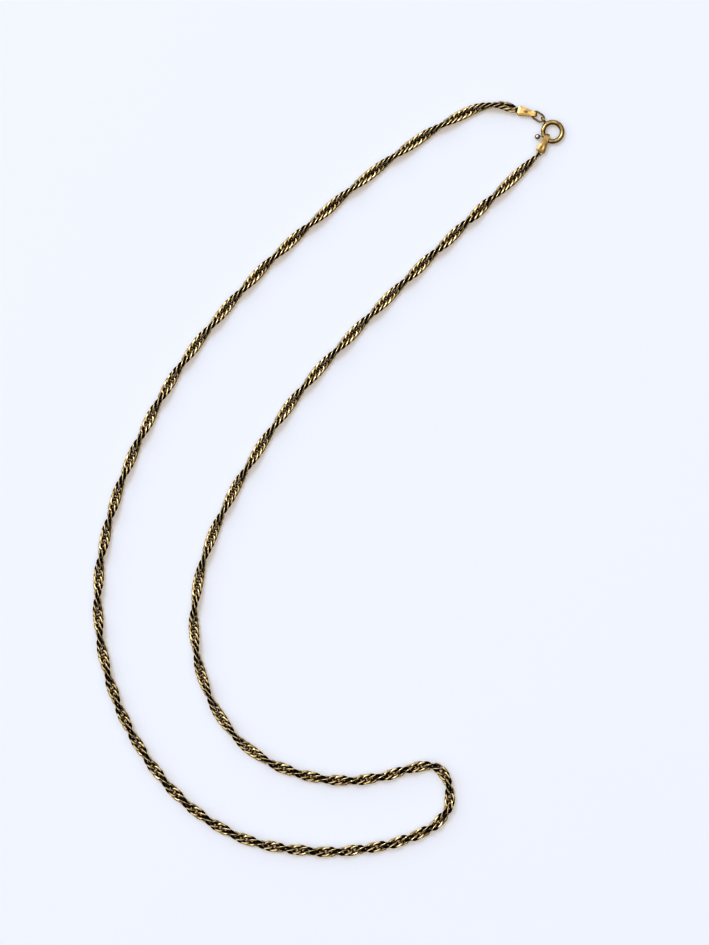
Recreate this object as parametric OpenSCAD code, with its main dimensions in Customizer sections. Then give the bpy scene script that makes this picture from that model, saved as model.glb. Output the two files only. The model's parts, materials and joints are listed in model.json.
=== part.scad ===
// Gold twisted curb chain necklace, closed by a spring ring clasp and lying on the plane z = 0.
// Millimetres, +Z up. The origin is on that plane, under the middle of the whole necklace.
// The working frame of the route and the clasp has its own zero on the axis of the clasp's ring.

/* [Chain] */
// Widest measure across the twisted chain
chain_w = 2.4; // [2:0.1:3]
// Gap between a chain end and the mouth of its tag
chain_gap = 0.15; // [0.1:0.05:0.3]

/* [Spring ring] */
// Outside diameter of the clasp ring
ring_od = 5.4; // [5:0.1:7]
// Outside diameter of the ring's tube
tube_d = 1.06; // [1:0.02:1.3]
// Wall of the ring's tube
tube_wall = 0.16; // [0.14:0.01:0.2]
// Running gap between the bolt and the tube
bolt_clear = 0.06; // [0.04:0.01:0.08]
// Turn of the bolt from closed to fully open, degrees
bolt_travel = 40; // [36:1:44]

/* [Knob] */
// Diameter of the knob's ball
knob_d = 1.2; // [1:0.05:1.4]
// Diameter of the stem between the bolt and the ball
stem_d = 0.4; // [0.3:0.02:0.5]
// Gap between the ring's tube and the ball
knob_gap = 0.3; // [0.2:0.05:0.5]

/* [Eye] */
// Outside diameter of the eye soldered to the ring
eye_od = 1.6; // [1.5:0.05:1.8]
// Wire diameter of the eye
eye_wire = 0.4; // [0.34:0.02:0.44]
// Diameter of the solder bead at the eye's foot
solder_d = 0.6; // [0.5:0.05:0.65]

/* [Jump ring] */
// Outside length of the oval jump ring
jump_l = 3.2; // [3:0.05:3.6]
// Outside width of the oval jump ring
jump_w = 2.1; // [2:0.05:2.4]
// Wire diameter of the jump ring
jump_wire = 0.42; // [0.36:0.02:0.46]

/* [End tags] */
// Length of a folded tag from its fold to its mouth
tag_l = 4.5; // [4:0.1:5]
// Width of a tag at its mouth
tag_w = 2.1; // [1.8:0.1:2.4]
// Width of a tag at its fold
tag_tip_w = 0.8; // [0.7:0.02:0.84]
// Thickness of the folded strip
leaf_t = 0.27; // [0.2:0.01:0.32]
// Corner radius of a tag's mouth
tag_corner = 0.55; // [0.3:0.05:0.8]
// Opening between the two leaves at the mouth, for the last link
jaw_gap = 0.6; // [0.5:0.02:0.7]
// Gap between a fold and the wire or tube that it holds
fold_clear = 0.07; // [0.05:0.01:0.1]

/* [Hidden] */
$fn = 48;

// Angles on the clasp ring, degrees from +X, counted anticlockwise from above
gap_from = 208;
gap_to = 244;
bolt_seat = 4;
bolt_tail = 120;
knob_at = 198;
slot_side = 6;
eye_at = 128;
hook_at = 224.4;

// How the pieces beside the ring are turned, degrees
jump_turn = -33;
tag_jump_turn = 166;
tag_clasp_turn = 245;

// Seats of the wires in their folds, measured from the middle of the fold
jump_seat = 0.45;
hook_seat = 0.32;
// Straight stretch of a leaf behind its fold, and where it reaches the mouth's opening
leaf_straight = 0.6;
leaf_bend = 1.9;
// Depth that the eye sinks into the ring's tube, less than the tube's wall
eye_sink = 0.12;

ring_r = (ring_od - tube_d) / 2;
tube_r = tube_d / 2;
bore_r = tube_r - tube_wall;
bolt_r = bore_r - bolt_clear;
slot_h = stem_d + 2 * bolt_clear;
knob_r = ring_r + tube_r + knob_gap + knob_d / 2;

// Half openings of the two folds, and the height of the clasp's own plane above the surface
jump_bore = jump_wire / 2 + fold_clear;
hook_bore = tube_r + fold_clear;
clasp_z = hook_bore + leaf_t;

// The eye, the jump ring and the fold of its tag follow one another outward from the ring
eye_r = ring_r + tube_r + eye_od / 2 - eye_sink;
eye_c = eye_r * [cos(eye_at), sin(eye_at)];
arc_r = (jump_w - jump_wire) / 2;
jump_run = jump_l - jump_w;
jump_dir = [cos(jump_turn), sin(jump_turn)];
jump_near = eye_c - arc_r * jump_dir;
jump_far = jump_near - jump_run * jump_dir;
tag_jump_at = jump_far - (arc_r - jump_seat) * jump_dir;
tag_clasp_at = (ring_r - hook_seat) * [cos(hook_at), sin(hook_at)];

// Mouth of each tag, where the chain starts and ends in line with the tag
start_dir = [cos(tag_jump_turn), sin(tag_jump_turn)];
end_dir = [cos(tag_clasp_turn), sin(tag_clasp_turn)];
chain_start = tag_jump_at + (tag_l - jump_bore - leaf_t + chain_gap) * start_dir;
chain_end = tag_clasp_at + (tag_l - hook_bore - leaf_t + chain_gap) * end_dir;

// The chain's own route between its tags, round numbers chosen by hand along the lying chain
route = [
    [-12.5, 6], [-19, 4.5], [-29, -1], [-41, -9.5], [-53, -19.5], [-64.5, -30],
    [-75.5, -42], [-85, -54.5], [-93, -69], [-99, -84], [-102.5, -101], [-101.5, -118],
    [-95.5, -135], [-84.5, -150], [-70, -159.5], [-53, -162.5], [-40, -161.5], [-32.5, -159.5],
    [-26.5, -156.5], [-23.5, -152.5], [-23.5, -147.5], [-26, -143.5], [-31, -143.5], [-38, -145.5],
    [-46, -146.5], [-55, -145.5], [-64.5, -142], [-72.5, -135.5], [-78.5, -125], [-81, -111.5],
    [-79, -97.5], [-73.5, -84], [-65.5, -70.5], [-56, -57.5], [-45, -45.5], [-33.5, -34],
    [-22, -23], [-12, -13.5],
];
tube_sides = 8;
rings_per_span = 2;

// A smooth curve through the route's points. The point added beyond each end turns the curve
// in line with the tag there, over a short lead.
end_lead = 3;
stops = concat([chain_start], route, [chain_end]);
last = len(stops) - 1;
ends = concat([stops[1] - 2 * end_lead * start_dir], stops, [stops[last - 1] - 2 * end_lead * end_dir]);
function curve(a, b, c, d, t) =
    (2 * b + (c - a) * t + (2 * a - 5 * b + 4 * c - d) * t * t + (3 * b - a - 3 * c + d) * t * t * t) / 2;
function along(i, t) = curve(ends[i], ends[i + 1], ends[i + 2], ends[i + 3], t);
path = concat(
    [for (i = [0:last - 1], k = [0:rings_per_span - 1]) along(i, k / rings_per_span)],
    [chain_end]
);
tip = len(path) - 1;
function heading(i) = i == 0 ? start_dir : i == tip ? -end_dir : path[i + 1] - path[i - 1];
function across(i) = [-heading(i)[1], heading(i)[0]] / norm(heading(i));
// The tube's flats rest on the plane, so its corners lie a little outside the half width
corner_r = chain_w / 2 / cos(180 / tube_sides);
function corner(i, s) = let (a = 360 * (s + 0.5) / tube_sides)
    [each (path[i] + corner_r * cos(a) * across(i)), chain_w / 2 + corner_r * sin(a)];

// Shift that puts the origin under the middle of the whole necklace
xs = concat([for (i = [0:tip], s = [0:tube_sides - 1]) corner(i, s)[0]], [ring_r + tube_r]);
ys = [for (i = [0:tip], s = [0:tube_sides - 1]) corner(i, s)[1]];
middle = [-(min(xs) + max(xs)) / 2, -(min(ys) + max(ys)) / 2, 0];

// Chain of twisted curb links, one tube of their widest measure
module chain() {
    points = [for (i = [0:tip], s = [0:tube_sides - 1]) corner(i, s)];
    walls = [
        for (i = [0:tip - 1], s = [0:tube_sides - 1])
            let (n = (s + 1) % tube_sides, a = i * tube_sides)
            [a + s, a + tube_sides + s, a + tube_sides + n, a + n]
    ];
    first_cap = [for (s = [0:tube_sides - 1]) s];
    last_cap = [for (s = [tube_sides - 1:-1:0]) tip * tube_sides + s];
    color("goldenrod")
        translate(middle)
            polyhedron(points, concat([first_cap], walls, [last_cap]));
}

// Side form of a folded strip, one half opening at the fold and another at the mouth
module leaf_side(bore, grow) {
    mouth_h = jaw_gap / 2 + grow;
    rotate([90, 0, 0]) {
        cylinder(h = tag_w + 1, r = bore + grow, center = true);
        linear_extrude(tag_w + 1, center = true)
            polygon([
                [0, bore + grow], [leaf_straight, bore + grow], [leaf_bend, mouth_h], [tag_l, mouth_h],
                [tag_l, -mouth_h], [leaf_bend, -mouth_h], [leaf_straight, -bore - grow], [0, -bore - grow],
            ]);
    }
}

// Top form of a tag, flared from its fold to the rounded corners of its mouth
module leaf_top(bore) {
    height = 4 * clasp_z;
    fold_x = -bore - leaf_t;
    mouth_x = fold_x + tag_l;
    corner = [mouth_x - tag_corner, tag_w / 2 - tag_corner];
    reach = corner - [fold_x, tag_tip_w / 2];
    lean = atan2(reach[1], reach[0]) + asin(tag_corner / norm(reach));
    touch = corner + tag_corner * [-sin(lean), cos(lean)];
    for (side = [-1, 1])
        translate([corner[0], side * corner[1], 0])
            cylinder(h = height, r = tag_corner, center = true);
    linear_extrude(height, center = true)
        polygon([
            [fold_x, tag_tip_w / 2], touch, corner, [mouth_x, corner[1]],
            [mouth_x, -corner[1]], [corner[0], -corner[1]], [touch[0], -touch[1]],
            [fold_x, -tag_tip_w / 2],
        ]);
}

// Strip folded in a U, with its fold round a wire of the given half opening
module tag(at, turn, bore) {
    translate([at[0], at[1], clasp_z] + middle)
        rotate([0, 0, turn])
            intersection() {
                difference() {
                    leaf_side(bore, leaf_t);
                    leaf_side(bore, 0);
                }
                leaf_top(bore);
            }
}

// Tag between the chain's first link and the jump ring
module tag_jump_side() {
    color("gold")
        tag(tag_jump_at, tag_jump_turn, jump_bore);
}

// Tag between the chain's last link and the clasp's ring
module tag_clasp_side() {
    color("gold")
        tag(tag_clasp_at, tag_clasp_turn, hook_bore);
}

// Oval wire ring through the eye and the first tag's fold
module jump_ring() {
    color("goldenrod")
        translate([jump_near[0], jump_near[1], clasp_z] + middle)
            rotate([0, 0, jump_turn]) {
                rotate([0, 0, -90])
                    rotate_extrude(angle = 180)
                        translate([arc_r, 0])
                            circle(d = jump_wire);
                translate([-jump_run, 0, 0])
                    rotate([0, 0, 90])
                        rotate_extrude(angle = 180)
                            translate([arc_r, 0])
                                circle(d = jump_wire);
                for (side = [-1, 1])
                    translate([-jump_run, side * arc_r, 0])
                        rotate([0, 90, 0])
                            cylinder(h = jump_run, d = jump_wire);
            }
}

// Arc of round rod along the clasp's own circle
module rod_arc(radius, from, to) {
    rotate([0, 0, from])
        rotate_extrude(angle = to - from)
            translate([ring_r, 0])
                circle(radius);
}

// Hollow ring with its gap, the slot for the knob's stem and the soldered eye
module spring_ring() {
    color("goldenrod")
        translate([0, 0, clasp_z] + middle)
            difference() {
                union() {
                    rod_arc(tube_r, gap_to, gap_from + 360);
                    translate([eye_c[0], eye_c[1], 0])
                        rotate([90, 0, eye_at])
                            rotate_extrude()
                                translate([(eye_od - eye_wire) / 2, 0])
                                    circle(d = eye_wire);
                    translate([(ring_r + tube_r) * cos(eye_at), (ring_r + tube_r) * sin(eye_at), 0])
                        sphere(d = solder_d);
                }
                rod_arc(bore_r, gap_to - 1, gap_from + 361);
                rotate([0, 0, knob_at - bolt_travel - slot_side])
                    rotate_extrude(angle = bolt_travel + 2 * slot_side)
                        translate([ring_r, -slot_h / 2])
                            square([tube_d, slot_h]);
            }
}

// Curved bolt that closes the gap, with the knob that draws it back
module clasp_bolt() {
    color("silver")
        translate([0, 0, clasp_z] + middle) {
            rod_arc(bolt_r, bolt_tail, gap_to + bolt_seat);
            rotate([0, 0, knob_at]) {
                translate([ring_r, 0, 0])
                    rotate([0, 90, 0])
                        cylinder(h = knob_r - ring_r, d = stem_d);
                translate([knob_r, 0, 0])
                    sphere(d = knob_d);
            }
        }
}

chain();
tag_jump_side();
tag_clasp_side();
jump_ring();
spring_ring();
clasp_bolt();
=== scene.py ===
import json
import math

import bpy
import numpy as np
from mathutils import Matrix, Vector
from mathutils.kdtree import KDTree


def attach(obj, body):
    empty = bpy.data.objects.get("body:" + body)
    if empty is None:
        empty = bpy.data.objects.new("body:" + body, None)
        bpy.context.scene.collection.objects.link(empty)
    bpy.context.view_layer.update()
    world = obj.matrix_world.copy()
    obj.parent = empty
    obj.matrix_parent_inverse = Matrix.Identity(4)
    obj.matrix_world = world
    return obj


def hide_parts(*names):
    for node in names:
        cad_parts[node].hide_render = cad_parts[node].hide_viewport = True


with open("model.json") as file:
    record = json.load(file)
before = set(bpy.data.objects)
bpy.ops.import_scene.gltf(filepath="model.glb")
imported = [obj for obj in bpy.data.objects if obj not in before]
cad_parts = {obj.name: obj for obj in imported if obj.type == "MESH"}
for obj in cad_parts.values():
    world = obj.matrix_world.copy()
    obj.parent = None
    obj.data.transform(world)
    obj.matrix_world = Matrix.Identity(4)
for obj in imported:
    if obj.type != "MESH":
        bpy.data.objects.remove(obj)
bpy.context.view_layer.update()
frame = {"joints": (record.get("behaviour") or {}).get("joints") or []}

# Gold twisted chain on its spring ring clasp, lying closed on a pale surface.
# The frame is in metres; sizes here are in millimetres unless they say otherwise.

mm = 0.001
ringAt = Vector(frame["joints"][0]["pos_m"])   # middle of the clasp's ring, where the route counts from
scene = bpy.context.scene


def deselectAll():
    if bpy.context.mode != "OBJECT":
        bpy.ops.object.mode_set(mode="OBJECT")
    bpy.ops.object.select_all(action="DESELECT")


def selectOnly(obj):
    deselectAll()
    obj.select_set(True)
    bpy.context.view_layer.objects.active = obj


def applyModifiers(obj):
    selectOnly(obj)
    for modifier in list(obj.modifiers):
        bpy.ops.object.modifier_apply(modifier=modifier.name)


def fromRing(x, y, z=0.0):
    return Vector((ringAt.x + x * mm, ringAt.y + y * mm, z * mm))


def heading(degrees):
    return np.array([math.cos(math.radians(degrees)), math.sin(math.radians(degrees))])


def ease(value, low, high):
    # 0 up to low and 1 from high on, with a soft start and end
    t = np.clip((value - low) / (high - low), 0, 1)
    return t * t * (3 - 2 * t)


# Camera straight above, as the photograph is taken
cameraLook = {
    "lens": 85,
    "sensor": 36,
    "scale": 4.43,                # pixels a millimetre
    "frameHeight": 945,           # pixels
    "centre": (-44.72, -76.93),   # middle of the picture, from the clasp's ring
    "scaleHeight": 1.0,           # how far over the surface the scale holds exactly
    "clip": (0.01, 5),            # metres
}
print("camera")
cameraData = bpy.data.cameras.new("camera")
cameraData.lens = cameraLook["lens"]
cameraData.sensor_width = cameraLook["sensor"]
cameraData.clip_start, cameraData.clip_end = cameraLook["clip"]
camera = bpy.data.objects.new("camera", cameraData)
scene.collection.objects.link(camera)
pictureTall = cameraLook["frameHeight"] / cameraLook["scale"] * mm
camera.location = fromRing(*cameraLook["centre"], cameraLook["scaleHeight"])
camera.location.z += cameraLook["lens"] / cameraLook["sensor"] * pictureTall
scene.camera = camera


# Parts of a material, shared by the metals, the surface and the room
def addNoise(tree, scale, detail):
    coords = tree.nodes.new("ShaderNodeTexCoord")
    noise = tree.nodes.new("ShaderNodeTexNoise")
    noise.inputs["Scale"].default_value = scale
    noise.inputs["Detail"].default_value = detail
    tree.links.new(coords.outputs["Object"], noise.inputs["Vector"])
    return noise.outputs["Fac"]


def addRange(tree, value, fromRange, toRange):
    mapped = tree.nodes.new("ShaderNodeMapRange")
    for name, number in zip(("From Min", "From Max", "To Min", "To Max"), (*fromRange, *toRange)):
        mapped.inputs[name].default_value = number
    tree.links.new(value, mapped.inputs["Value"])
    return mapped


def addColourMix(tree, factor, first, second):
    # first and second are each a colour, or the socket that it comes from. A Mix node takes its
    # two colours on sockets 6 and 7, and two plain values on 2 and 3.
    mix = tree.nodes.new("ShaderNodeMix")
    mix.data_type = "RGBA"
    tree.links.new(factor, mix.inputs[0])
    for socket, colour in ((mix.inputs[6], first), (mix.inputs[7], second)):
        if isinstance(colour, tuple):
            socket.default_value = (*colour, 1)
        else:
            tree.links.new(colour, socket)
    return mix.outputs[2]


# Gold and its wear; the grime colour of each also serves as painted shade in its crevices and on its
# sides and undersides
chainGold = {
    "bright": (0.98, 0.85, 0.56),
    "deep": (0.50, 0.38, 0.19),
    "grimeAndShade": (0.012, 0.007, 0.003),  # painted shade in the crevices, with what has settled there
    "roughness": (0.10, 0.23),
    "grimeAndShadeRoughness": 0.55,
    "blotch": 1400,                  # size of the colour's changes, a metre over it
    "grain": 9000,                   # the same of the fine marks of wear
    "bump": 0.12,
}
tagGold = {
    "bright": (0.85, 0.66, 0.35),
    "deep": (0.60, 0.42, 0.18),
    "grimeAndShade": (0.06, 0.035, 0.015),
    "roughness": (0.25, 0.42),
    "grimeAndShadeRoughness": 0.5,
    "blotch": 700,
    "grain": 7000,
    "bump": 0.15,
}
# the clasp's gold is a darker copy of the tags' gold: painted shade, for the dark surroundings that its
# polished ring reflects
claspGoldShaded = {
    "bright": (0.54, 0.43, 0.21),
    "deep": (0.25, 0.19, 0.08),
    "grimeAndShade": (0.03, 0.02, 0.008),
    "roughness": (0.12, 0.25),
    "grimeAndShadeRoughness": 0.5,
    "blotch": 900,
    "grain": 9000,
    "bump": 0.08,
}
boltSteel = {
    "bright": (0.62, 0.57, 0.53),
    "deep": (0.40, 0.35, 0.32),
    "grimeAndShade": (0.06, 0.05, 0.045),
    "roughness": (0.10, 0.24),
    "grimeAndShadeRoughness": 0.5,
    "blotch": 1500,
    "grain": 9000,
    "bump": 0.08,
}
metalPattern = {
    "blotchDetail": 3,
    "blotchSpread": (0.35, 0.65),    # values of the noise that are bright and deep in full
    "grainDetail": 4,
    "bumpDepth": 0.02,               # of the fine marks, at full strength
}


def makeMetal(name, look):
    metal = bpy.data.materials.new(name)
    metal.use_nodes = True
    tree = metal.node_tree
    nodes, links = tree.nodes, tree.links
    shader = nodes["Principled BSDF"]
    shader.inputs["Metallic"].default_value = 1
    blotch = addNoise(tree, look["blotch"], metalPattern["blotchDetail"])
    spread = addRange(tree, blotch, metalPattern["blotchSpread"], (0, 1))
    tone = addColourMix(tree, spread.outputs["Result"], look["bright"], look["deep"])
    # an attribute darkens the colour towards the grime colour, painted shade and grime together
    grimeAndShade = nodes.new("ShaderNodeAttribute")
    grimeAndShade.attribute_name = "grimeAndShade"
    dirtyAndShaded = addColourMix(tree, grimeAndShade.outputs["Fac"], tone, look["grimeAndShade"])
    links.new(dirtyAndShaded, shader.inputs["Base Color"])
    grain = addNoise(tree, look["grain"], metalPattern["grainDetail"])
    gloss = addRange(tree, grain, (0, 1), look["roughness"])
    dull = nodes.new("ShaderNodeMix")
    dull.inputs[3].default_value = look["grimeAndShadeRoughness"]
    links.new(grimeAndShade.outputs["Fac"], dull.inputs[0])
    links.new(gloss.outputs["Result"], dull.inputs[2])
    links.new(dull.outputs[0], shader.inputs["Roughness"])
    bump = nodes.new("ShaderNodeBump")
    bump.inputs["Strength"].default_value = look["bump"]
    bump.inputs["Distance"].default_value = metalPattern["bumpDepth"] * mm
    links.new(grain, bump.inputs["Height"])
    links.new(bump.outputs["Normal"], shader.inputs["Normal"])
    return metal


print("metals")
chainMetal = makeMetal("chain_gold", chainGold)
tagMetal = makeMetal("tag_gold", tagGold)
claspMetal = makeMetal("clasp_gold", claspGoldShaded)
boltMetal = makeMetal("bolt_metal", boltSteel)


# how much painted shade and grime darken the metal at each vertex
def paintGrimeAndShade(mesh, values):
    layer = mesh.attributes.new("grimeAndShade", "FLOAT", "POINT")
    layer.data.foreach_set("value", np.asarray(values, dtype=np.float32))


def makePiece(name, verts, faces, grimeAndShade, metal):
    mesh = bpy.data.meshes.new(name)
    mesh.from_pydata(verts, [], faces.tolist())
    mesh.update()
    mesh.polygons.foreach_set("use_smooth", [True] * len(mesh.polygons))
    mesh.materials.append(metal)
    paintGrimeAndShade(mesh, grimeAndShade)
    piece = bpy.data.objects.new(name, mesh)
    scene.collection.objects.link(piece)
    return piece


# The chain: one long oval of wire, copied along the route. Each link holds the next two.
route = [
    (-8.01, 4.92), (-12.5, 6), (-19, 4.5), (-29, -1), (-41, -9.5), (-53, -19.5), (-64.5, -30),
    (-75.5, -42), (-85, -54.5), (-93, -69), (-99, -84), (-102.5, -101), (-101.5, -118),
    (-95.5, -135), (-84.5, -150), (-70, -159.5), (-53, -162.5), (-40, -161.5), (-32.5, -159.5),
    (-26.5, -156.5), (-23.5, -152.5), (-23.5, -147.5), (-26, -143.5), (-31, -143.5), (-38, -145.5),
    (-46, -146.5), (-55, -145.5), (-64.5, -142), (-72.5, -135.5), (-78.5, -125), (-81, -111.5),
    (-79, -97.5), (-73.5, -84), (-65.5, -70.5), (-56, -57.5), (-45, -45.5), (-33.5, -34),
    (-22, -23), (-12, -13.5), (-2.92, -4.72),
]
tagTurns = {"tag_jump_side": 166, "tag_clasp_side": 245}   # outward along the chain, degrees
routeShape = {
    "lead": 3,              # how long each end of the chain follows its tag
    "samples": 60,          # points from one stop of the route to the next
    "height": 1.245,        # of the chain's axis where the ribbon stands on edge
    "sag": 0.4,             # how much lower it is where the ribbon lies flat
    "sagPower": 4,          # how soon it rises again beside the flat places
    "endHeight": 0.87,      # of the axis inside the tags
    "slopeFrom": 0.8,       # how far inside the tags it starts to rise, and over what length
    "slope": 2.4,
}
linkShape = {
    "half": (1.5, 0.86),    # half length and half width, to the middle of the wire
    "wire": 0.76,           # across, in the link's own plane
    "wireFlat": 0.48,       # the wire's thickness over its width
    "blunt": 1.15,          # how much rounder a link's ends are than an oval's
    "twist": -38,           # from end to end, degrees
    "tilt": 30,             # of the wire about itself, which puts its flats on its sides, degrees
    "quarterSpans": 4,      # straight spans in a quarter of the oval
    "wireRounding": 1,      # the curve's bevel resolution, which gives the wire six sides
    "reach": 0.8,           # the part of the half length over which a link follows the route
}
linkShadeAndGrime = {
    "under": (0, 0.15),     # how deep under the other links a surface lies, clean and full of painted shade with grime
    "inner": (-0.35, 0.5),  # the same on the side that faces the link's own hole
    "end": 0.85,            # painted shade with grime at a link's two ends
    "endFrom": (0.85, 1.02),   # where that begins and is full, as parts of the half length
}
linkRow = {
    "first": 1.7,           # from the chain's start to the middle of the first link
    "last": 1.9,            # and from the last one to its end
    # length along the chain, and the step from one link to the next there
    "steps": [(0, 1.17), (70, 1.17), (100, 1.24), (140, 1.29), (185, 1.32), (235, 1.3), (270, 1.26),
              (300, 1.27), (340, 1.27), (390, 1.25), (430, 1.21), (494, 1.18)],
    # length along the chain, and the half turns that the ribbon has made by there
    "halfTurns": [(0, 0), (6.3, 0.5), (56, 4.5), (98.5, 8.5), (137, 12.5), (173, 16.5), (200.5, 20.5),
                  (226.5, 24.5), (250.5, 28.5), (271, 32.5), (295, 36.5), (320.5, 40.5), (362, 44.5),
                  (407, 48.5), (451.5, 52.5), (471, 54.5), (478.5, 55.5), (491.5, 56.5)],
}


def makeLink(half, wire, flat=1, blunt=1, twist=0):
    halfLength, halfWidth = half
    deselectAll()
    bpy.ops.curve.primitive_bezier_circle_add(radius=mm, location=(0, 0, 0))
    link = bpy.context.object
    bpy.ops.object.mode_set(mode="EDIT")
    bpy.ops.curve.select_all(action="SELECT")
    bpy.ops.transform.resize(value=(halfLength, halfWidth, 1))
    bpy.ops.curve.handle_type_set(type="ALIGNED")
    bpy.ops.object.mode_set(mode="OBJECT")
    # longer handles at the two ends round them off
    for point in link.data.splines[0].bezier_points:
        point.tilt = math.radians(linkShape["tilt"])
        longer = blunt if abs(point.co.x) > abs(point.co.y) else 1
        point.handle_left = point.co + (point.handle_left - point.co) * longer
        point.handle_right = point.co + (point.handle_right - point.co) * longer
    link.data.dimensions = "3D"
    link.data.resolution_u = linkShape["quarterSpans"]
    link.data.bevel_depth = wire / 2 * mm
    link.data.bevel_resolution = linkShape["wireRounding"]
    bpy.ops.object.convert(target="MESH")
    link = bpy.context.object
    bpy.ops.object.mode_set(mode="EDIT")
    bpy.ops.mesh.select_all(action="SELECT")
    bpy.ops.transform.resize(value=(1, 1, flat))
    bpy.ops.object.mode_set(mode="OBJECT")
    if twist:
        turn = link.modifiers.new("twist", "SIMPLE_DEFORM")
        turn.deform_method = "TWIST"
        turn.deform_axis = "X"
        turn.angle = math.radians(twist * (halfLength + wire / 2) / halfLength)
        applyModifiers(link)
    verts = np.array([v.co[:] for v in link.data.vertices]) / mm
    faces = np.array([f.vertices[:] for f in link.data.polygons])
    bpy.data.objects.remove(link)
    return verts, faces


def linkGrimeAndShade(verts):
    # clean on the sides that the ribbon shows; painted shade with grime on those under the next links and
    # around the hole
    halfLength, halfWidth = linkShape["half"]
    wireHalf = linkShape["wire"] / 2
    x, y, z = verts.T
    # y and z as they were before the twist, then all three as parts of the link's own sizes
    turn = -np.radians(linkShape["twist"]) * x / halfLength / 2
    y, z = y * np.cos(turn) - z * np.sin(turn), y * np.sin(turn) + z * np.cos(turn)
    lengthwise, sideways, upwards = x / halfLength, y / halfWidth, z / wireHalf / linkShape["wireFlat"]
    under = ease(lengthwise * sideways * upwards, *linkShadeAndGrime["under"])
    middle = halfWidth * np.sqrt(np.clip(1 - lengthwise ** 2, 0, 1))
    inner = ease((middle - np.abs(y)) / wireHalf, *linkShadeAndGrime["inner"])
    end = linkShadeAndGrime["end"] * ease(np.abs(lengthwise), *linkShadeAndGrime["endFrom"])
    return np.max([under, inner, end], axis=0)


def followRoute():
    # a smooth curve through all stops, whose ends keep to the tags' directions
    stops = np.array(route, float)
    first, last = [heading(turn) for turn in tagTurns.values()]
    lead = 2 * routeShape["lead"]
    stops = np.vstack([stops[1] - lead * first, stops, stops[-2] - lead * last])
    t = np.linspace(0, 1, routeShape["samples"], endpoint=False)[:, None]
    line = []
    for a, b, c, d in zip(stops, stops[1:], stops[2:], stops[3:]):
        line.append((2 * b + (c - a) * t + (2 * a - 5 * b + 4 * c - d) * t ** 2
                     + (3 * b - a - 3 * c + d) * t ** 3) / 2)
    line = np.vstack(line + [stops[-2:-1]])
    along = np.concatenate([[0], np.cumsum(np.linalg.norm(np.diff(line, axis=0), axis=1))])
    # the axis is lower where the ribbon lies flat, and comes down to the tags at both ends
    angle = math.pi * np.interp(along, *np.array(linkRow["halfTurns"]).T)
    height = routeShape["height"] - routeShape["sag"] * np.cos(angle) ** routeShape["sagPower"]
    inside = np.minimum(along, along[-1] - along) + routeShape["slopeFrom"]
    rise = ease(inside, 0, routeShape["slope"])
    height = routeShape["endHeight"] + (height - routeShape["endHeight"]) * rise
    return np.column_stack([line, height]), along


def placeLinks(total):
    stepAt, stepIs = np.array(linkRow["steps"]).T
    places = [linkRow["first"]]
    while places[-1] < total - linkRow["last"]:
        places.append(places[-1] + np.interp(places[-1], stepAt, stepIs))
    # all the steps give a little, so that the last link comes where it should
    places = np.array(places)
    stretch = (total - linkRow["last"] - places[0]) / (places[-1] - places[0])
    return places[0] + (places - places[0]) * stretch


def makeChain(line, along):
    verts, faces = makeLink(linkShape["half"], linkShape["wire"], linkShape["wireFlat"],
                            linkShape["blunt"], linkShape["twist"])
    turnAt, turnIs = np.array(linkRow["halfTurns"]).T
    reach = linkShape["half"][0] * linkShape["reach"]
    places = placeLinks(along[-1])
    allVerts, allFaces = [], []
    for count, s in enumerate(places):
        at, fore, back = [np.array([np.interp(q, along, line[:, axis]) for axis in range(3)])
                          for q in (s, s + reach, s - reach)]
        ahead = (fore - back) / np.linalg.norm(fore - back)
        side = np.array([-ahead[1], ahead[0], 0]) / math.hypot(ahead[0], ahead[1])
        up = np.cross(ahead, side)
        angle = math.pi * np.interp(s, turnAt, turnIs)
        wide = math.cos(angle) * side + math.sin(angle) * up
        thick = -math.sin(angle) * side + math.cos(angle) * up
        # a straight link lies a little to the inside of a bend
        chord = (at * 2 + fore + back) / 4
        centre = np.array(fromRing(chord[0], chord[1], at[2]))
        allVerts.append(centre + verts @ np.stack([ahead, wide, thick]) * mm)
        allFaces.append(faces + count * len(verts))
    print("links", len(places), "over", round(along[-1], 1), "mm")
    grimeAndShade = np.tile(linkGrimeAndShade(verts), len(places))
    return makePiece("chain_links", np.vstack(allVerts), np.vstack(allFaces), grimeAndShade, chainMetal)


print("chain")
chainLine, chainAlong = followRoute()
chain = makeChain(chainLine, chainAlong)
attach(chain, "necklace")
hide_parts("chain")


# A flat oval link in each tag's mouth holds the chain's first or last link
endLinkShape = {
    "half": (0.8, 0.52),
    "wire": 0.42,
    "beyondChain": 0.1,     # from the chain's end to the middle of this link, towards the tag
    "height": 0.87,
    "grimeAndShade": 0.4,
}


def makeEndLink(name, end, turn):
    verts, faces = makeLink(endLinkShape["half"], endLinkShape["wire"])
    away = np.array([*heading(turn), 0])
    side = np.array([-away[1], away[0], 0])
    middle = end - away * endLinkShape["beyondChain"]
    centre = np.array(fromRing(middle[0], middle[1], endLinkShape["height"]))
    placed = centre + verts @ np.stack([away, side, [0, 0, 1]]) * mm
    endLink = makePiece(name, placed, faces, np.full(len(verts), endLinkShape["grimeAndShade"]), chainMetal)
    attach(endLink, "necklace")


makeEndLink("end_link_jump_side", chainLine[0], tagTurns["tag_jump_side"])
makeEndLink("end_link_clasp_side", chainLine[-1], tagTurns["tag_clasp_side"])


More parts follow.
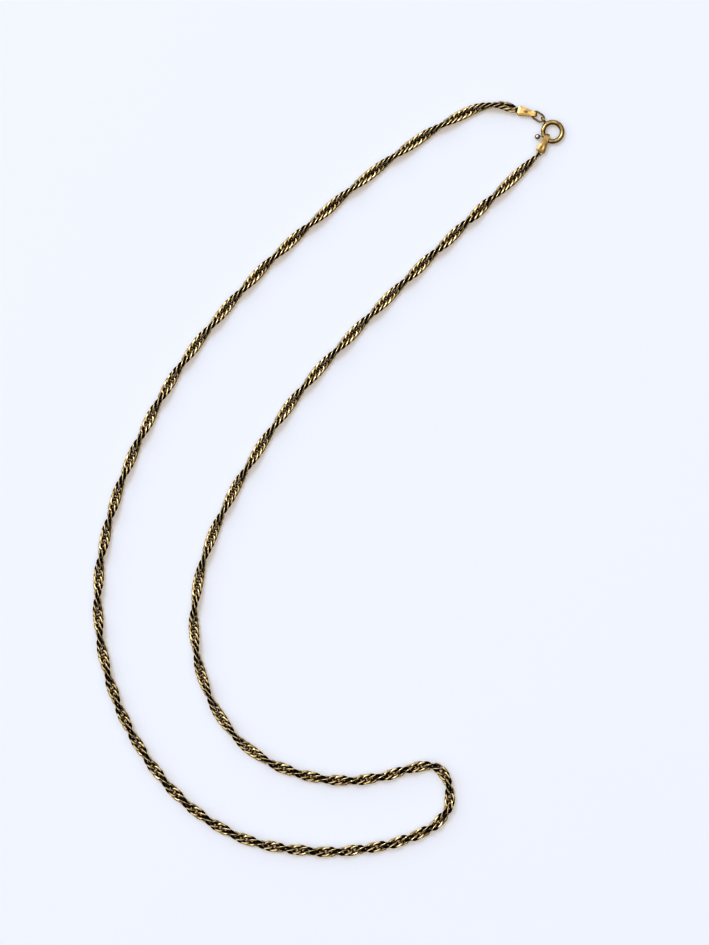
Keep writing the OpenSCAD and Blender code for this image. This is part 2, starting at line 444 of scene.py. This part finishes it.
# Tags and clasp: the solid parts' forms with the soft edges of cast and tumbled metal
softForms = {
    # the first value is the grime on top, where skin and cloth rub; the second is painted shade with
    # grime on the sides and underside
    "tag_jump_side": {"voxel": 0.035, "smooth": 20, "worn": 0, "sideShadeAndGrime": 0.85},
    "tag_clasp_side": {"voxel": 0.035, "smooth": 20, "worn": 0.42, "sideShadeAndGrime": 0.9},
    "jump_ring": {"voxel": 0.03, "smooth": 8, "worn": 0.45, "sideShadeAndGrime": 0.95},
    "spring_ring": {"voxel": 0.042, "smooth": 6, "worn": 0, "sideShadeAndGrime": 0.95},
    "clasp_bolt": {"voxel": 0.03, "smooth": 6, "worn": 0, "sideShadeAndGrime": 0.7},
}
softening = {
    "merge": 0.0005,           # corners nearer to each other than this become one
    "factor": 0.5,             # of each round of smoothing
    "sideways": (0.15, 0.8),   # how far a surface turns from facing up, where the painted shade of its sides begins and is full
}
dimples = {
    "tag_jump_side": {"middle": (-6.0, 4.42), "half": (0.55, 0.3)},
    "tag_clasp_side": {"middle": (-2.42, -3.62), "half": (0.5, 0.28)},
}
dimpleShape = {
    "depth": 0.07,
    "power": 4,                # how steep its side is
    "facing": 0.5,             # the least upward part of a normal that it presses
    "below": 0.5,              # how far under the tag's top it still presses
    "grimeAndShade": 0.7,
}
tagDome = {
    "width": 0.5,              # of the band along a tag's outline that curves down
    "drop": 0.14,              # at the outline itself
    "outline": 0.4,            # the most upward part of a normal there
    "heights": (0.9, 1.5),     # above the floor, where a tag begins to move and moves in full
    "behind": (-1.9, -0.9),    # the same along the tag, from its dimple, which spares its fold
}


def softCopy(node, newName):
    form = softForms[node]
    piece = bpy.data.objects.new(newName, bpy.data.objects[node].data.copy())
    scene.collection.objects.link(piece)
    piece.data.materials.clear()
    selectOnly(piece)
    bpy.ops.object.mode_set(mode="EDIT")
    bpy.ops.mesh.select_all(action="SELECT")
    bpy.ops.mesh.remove_doubles(threshold=softening["merge"] * mm)
    bpy.ops.mesh.normals_make_consistent(inside=False)
    bpy.ops.object.mode_set(mode="OBJECT")
    remesh = piece.modifiers.new("even", "REMESH")
    remesh.mode = "VOXEL"
    remesh.voxel_size = form["voxel"] * mm
    soften = piece.modifiers.new("soften", "SMOOTH")
    soften.factor = softening["factor"]
    soften.iterations = form["smooth"]
    applyModifiers(piece)
    piece.data.polygons.foreach_set("use_smooth", [True] * len(piece.data.polygons))
    return piece


def readVerts(mesh, what="co"):
    values = np.empty(len(mesh.vertices) * 3)
    mesh.vertices.foreach_get(what, values)
    return values.reshape(-1, 3)


def writeVerts(mesh, verts):
    mesh.vertices.foreach_set("co", verts.ravel())
    mesh.update()


def fromDimple(node, verts):
    # how far each vertex lies from the middle of a tag's dimple, along the tag and across it
    ahead = heading(tagTurns[node])
    off = (verts[:, :2] - np.array(fromRing(*dimples[node]["middle"]))[:2]) / mm
    return off @ ahead, off @ np.array([-ahead[1], ahead[0]])


def domeTag(node, piece):
    # the upper leaf curves down a little along its outline
    verts, normals = readVerts(piece.data), readVerts(piece.data, "normal")
    along = fromDimple(node, verts)[0]
    upper = ease(verts[:, 2] / mm, *tagDome["heights"]) * ease(along, *tagDome["behind"])
    outline = np.flatnonzero((upper > 0) & (np.abs(normals[:, 2]) < tagDome["outline"]))
    tree = KDTree(len(outline))
    for index in outline:
        tree.insert((verts[index, 0], verts[index, 1], 0), index)
    tree.balance()
    inward = np.array([tree.find((x, y, 0))[2] for x, y in verts[:, :2]]) / mm
    verts[:, 2] -= upper * tagDome["drop"] * mm * (1 - ease(inward, 0, tagDome["width"]))
    writeVerts(piece.data, verts)


def pressDimple(node, piece):
    verts, normals = readVerts(piece.data), readVerts(piece.data, "normal")
    along, across = fromDimple(node, verts)
    halfLength, halfWidth = dimples[node]["half"]
    far = np.hypot(along / halfLength, across / halfWidth)
    lowest = verts[:, 2].max() - dimpleShape["below"] * mm
    onTop = (normals[:, 2] > dimpleShape["facing"]) & (verts[:, 2] > lowest)
    pressed = onTop * np.exp(-far ** dimpleShape["power"])
    verts[:, 2] -= pressed * dimpleShape["depth"] * mm
    writeVerts(piece.data, verts)
    return pressed


print("tags and clasp")
for node, metal, body, slotName in (
    ("tag_jump_side", tagMetal, "necklace", "tag_gold"),
    ("tag_clasp_side", tagMetal, "necklace", "tag_gold"),
    ("jump_ring", claspMetal, "necklace", "clasp_gold"),
    ("spring_ring", claspMetal, "necklace", "clasp_gold"),
    ("clasp_bolt", boltMetal, "bolt", "bolt_metal"),
):
    piece = softCopy(node, node + "_finished")
    pressed = 0
    if node in dimples:
        domeTag(node, piece)
        pressed = pressDimple(node, piece)
    form = softForms[node]
    # the sides and underside get painted shade with grime, more the further a surface turns from facing
    # up
    sideways = ease(1 - readVerts(piece.data, "normal")[:, 2], *softening["sideways"])
    grimeAndShade = form["worn"] + (form["sideShadeAndGrime"] - form["worn"]) * sideways
    paintGrimeAndShade(piece.data, np.maximum(grimeAndShade, pressed * dimpleShape["grimeAndShade"]))
    piece.data.materials.append(metal)
    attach(piece, body)
    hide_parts(node)
    print(piece.name, len(piece.data.polygons), "faces")


# Pale blue surface with a warm glow of its own, as a light table, which paints its shadows lighter and
# warm
surfaceLook = {
    "pale": (0.44, 0.60, 0.89),
    "paler": (0.45, 0.61, 0.90),
    "patches": 12,             # size of the change between the two, a metre over it
    "patchDetail": 2,
    "glow": (0.38, 0.28, 0.16),
    "roughness": 0.85,
    "specular": 0.2,
    "size": 12,                # metres
}
print("surface and light")
deselectAll()
bpy.ops.mesh.primitive_plane_add(size=surfaceLook["size"], location=(0, 0, 0))
floor = bpy.context.object
floor.name = "floor"
paper = bpy.data.materials.new("paper")
paper.use_nodes = True
paperTree = paper.node_tree
paperShader = paperTree.nodes["Principled BSDF"]
paperShader.inputs["Roughness"].default_value = surfaceLook["roughness"]
paperShader.inputs["Specular IOR Level"].default_value = surfaceLook["specular"]
paperShader.inputs["Emission Color"].default_value = (*surfaceLook["glow"], 1)
paperShader.inputs["Emission Strength"].default_value = 1
paperNoise = addNoise(paperTree, surfaceLook["patches"], surfaceLook["patchDetail"])
paperTone = addColourMix(paperTree, paperNoise, surfaceLook["pale"], surfaceLook["paler"])
paperTree.links.new(paperTone, paperShader.inputs["Base Color"])
floor.data.materials.append(paper)


# Light: a soft lamp over the upper left, a bright patch of ceiling and dark surroundings
keyLook = {
    "at": (-0.85, 1.0, 2.0),           # metres
    "size": 0.9,
    "power": 18,
    "colour": (1.0, 0.97, 0.92),
}
roomLook = {
    "ceilingTowards": (-0.28, 0.32, 0.9),
    "ceilingFrom": (0.2, 0.75),        # cosines from that direction, where it begins and is full
    "strength": (0.04, 1.25),          # of the surroundings and of the ceiling
    "colour": (1.0, 0.92, 0.82),
}
keyData = bpy.data.lights.new("key", "AREA")
keyData.shape = "DISK"
keyData.size = keyLook["size"]
keyData.energy = keyLook["power"]
keyData.color = keyLook["colour"]
key = bpy.data.objects.new("key", keyData)
key.location = keyLook["at"]
key.rotation_mode = "QUATERNION"
key.rotation_quaternion = (-Vector(keyLook["at"])).to_track_quat("-Z", "Y")
scene.collection.objects.link(key)

world = bpy.data.worlds.new("room")
world.use_nodes = True
scene.world = world
roomTree = world.node_tree
background = roomTree.nodes["Background"]
background.inputs["Color"].default_value = (*roomLook["colour"], 1)
skyCoords = roomTree.nodes.new("ShaderNodeTexCoord")
skyAngle = roomTree.nodes.new("ShaderNodeVectorMath")
skyAngle.operation = "DOT_PRODUCT"
skyAngle.inputs[1].default_value = Vector(roomLook["ceilingTowards"]).normalized()
roomTree.links.new(skyCoords.outputs["Generated"], skyAngle.inputs[0])
skyStrength = addRange(roomTree, skyAngle.outputs["Value"], roomLook["ceilingFrom"], roomLook["strength"])
skyStrength.interpolation_type = "SMOOTHSTEP"
roomTree.links.new(skyStrength.outputs["Result"], background.inputs["Strength"])
scene.view_settings.view_transform = "Standard"
scene.view_settings.look = "High Contrast"
scene.view_settings.exposure = -0.5

print("sizes")
